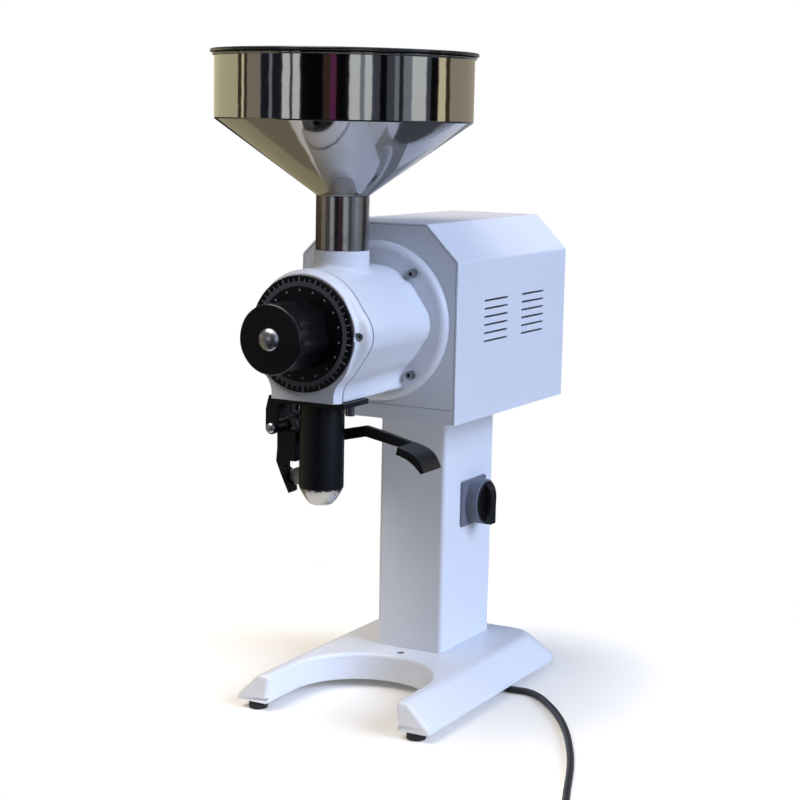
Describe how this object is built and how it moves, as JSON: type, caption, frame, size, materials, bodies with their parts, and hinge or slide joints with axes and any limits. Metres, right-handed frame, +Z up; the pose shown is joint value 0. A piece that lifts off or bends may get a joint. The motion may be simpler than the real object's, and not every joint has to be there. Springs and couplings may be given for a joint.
{
  "type": "commercial coffee grinder",
  "caption": "Bulk coffee grinder on a column: conical hopper, flat-burr head with graduated dial and knob, spout with sprung bag clamp, sheet motor housing, rotary switch and coiled mains lead.",
  "frame": {"origin": "on the table, under the middle of the machine without its lead", "axes": "+Z up; the dial and knob face -Y, the switch faces +X, the bag clamp hangs on the -X side of the spout"},
  "size_m": [0.4398, 0.5701, 0.643],
  "materials": {
    "white_casting": "white powder coat on a casting, satin",
    "white_sheet": "white powder coat on folded sheet, satin",
    "black_rubber": "matt moulded rubber",
    "zinc_steel": "zinc-plated steel",
    "dial_black": "satin black with grey marks",
    "knob_black": "satin black moulded plastic",
    "chrome_dome": "plated dome",
    "black_metal": "black paint, satin",
    "bare_aluminium": "turned, bare",
    "grey_rubber": "matt grey rubber",
    "mirror_stainless": "spun and polished to a mirror",
    "lid_dark": "smooth dark plastic",
    "grey_plastic": "moulded grey plastic",
    "switch_black": "moulded black plastic",
    "tool_steel": "ground tool steel",
    "iron": "cast grey iron",
    "winding": "lamination pack with varnished copper winding",
    "bearing_steel": "ground bearing steel",
    "fan_plastic": "moulded black plastic",
    "lead_sheath": "smooth black cable sheath",
    "plug_brass": "stamped brass"
  },
  "bodies": {
    "stand": {"base_casting": "white_casting", "foot_front_left": "black_rubber", "foot_front_right": "black_rubber", "foot_rear_left": "black_rubber", "foot_rear_right": "black_rubber", "base_screw": "zinc_steel", "column_tube": "white_sheet", "housing_tray": "white_sheet", "housing_front_plate": "white_sheet", "housing_cover": "white_sheet", "housing_back_plate": "white_sheet", "grinding_chamber": "white_casting", "flange_screw_1": "zinc_steel", "flange_screw_2": "zinc_steel", "flange_screw_3": "zinc_steel", "flange_screw_4": "zinc_steel", "chamber_front_cover": "white_casting", "cover_screw_left": "zinc_steel", "cover_screw_right": "zinc_steel", "outlet_bracket": "black_metal", "outlet_screw_left": "zinc_steel", "outlet_screw_right": "zinc_steel", "spout_tube": "black_metal", "spout_tip": "bare_aluminium", "clamp_pin": "chrome_dome", "switch_housing": "grey_plastic", "motor_frame": "iron", "motor_end_shield": "iron", "front_bearing": "bearing_steel", "rear_bearing": "bearing_steel", "stator_pack": "winding", "run_capacitor": "grey_plastic", "cord_gland": "black_rubber", "power_cord": "lead_sheath", "cord_coil": "lead_sheath", "plug_body": "lead_sheath", "plug_blade_left": "plug_brass", "plug_blade_right": "plug_brass", "plug_earth_pin": "plug_brass"},
    "drive_train": {"drive_shaft": "tool_steel", "rotor": "iron", "cooling_fan": "fan_plastic", "feed_auger": "iron", "burr_spider": "iron", "rotating_burr": "tool_steel", "burr_nut": "zinc_steel"},
    "carrier": {"burr_carrier": "iron", "stationary_burr": "tool_steel"},
    "dial": {"dial_disc": "dial_black", "adjuster_knob": "knob_black", "knob_screw": "chrome_dome"},
    "clamp": {"clamp_lever": "black_metal", "clamp_pad": "grey_rubber", "clamp_spring": "zinc_steel"},
    "switch": {"switch_knob": "switch_black"},
    "hopper": {"hopper_shell": "mirror_stainless"},
    "lid": {"hopper_lid": "lid_dark"}
  },
  "joints": [
    {"name": "drive_spin", "type": "hinge", "parent": "stand", "child": "drive_train", "pos_m": [0, 0, 0.3879], "axis": [0, 1, 0], "continuous": true},
    {"name": "burr_slide", "type": "slide", "parent": "stand", "child": "carrier", "axis": [0, -1, 0], "range_m": [0, 0.00138]},
    {"name": "dial_turn", "type": "hinge", "parent": "carrier", "child": "dial", "pos_m": [0, -0.2, 0.3879], "axis": [0, -1, 0], "range_deg": [0, 330]},
    {"name": "clamp_swing", "type": "hinge", "parent": "stand", "child": "clamp", "pos_m": [-0.047, -0.1304, 0.2935], "axis": [0, 1, 0], "range_deg": [0, 17], "stiffness_Nm_per_rad": 0.6, "springref_deg": -34.38},
    {"name": "switch_turn", "type": "hinge", "parent": "stand", "child": "switch", "pos_m": [0.056, 0.1163, 0.1885], "axis": [-1, 0, 0], "range_deg": [0, 90]},
    {"name": "hopper_lift", "type": "slide", "parent": "stand", "child": "hopper", "axis": [0, 0, 1], "range_m": [0, 0.06]},
    {"name": "lid_lift", "type": "slide", "parent": "hopper", "child": "lid", "axis": [0, 0, 1], "range_m": [0, 0.1]}
  ],
  "couplings": [
    {"joint": "burr_slide", "follows": "dial_turn", "m_per_rad": 0.000239}
  ]
}
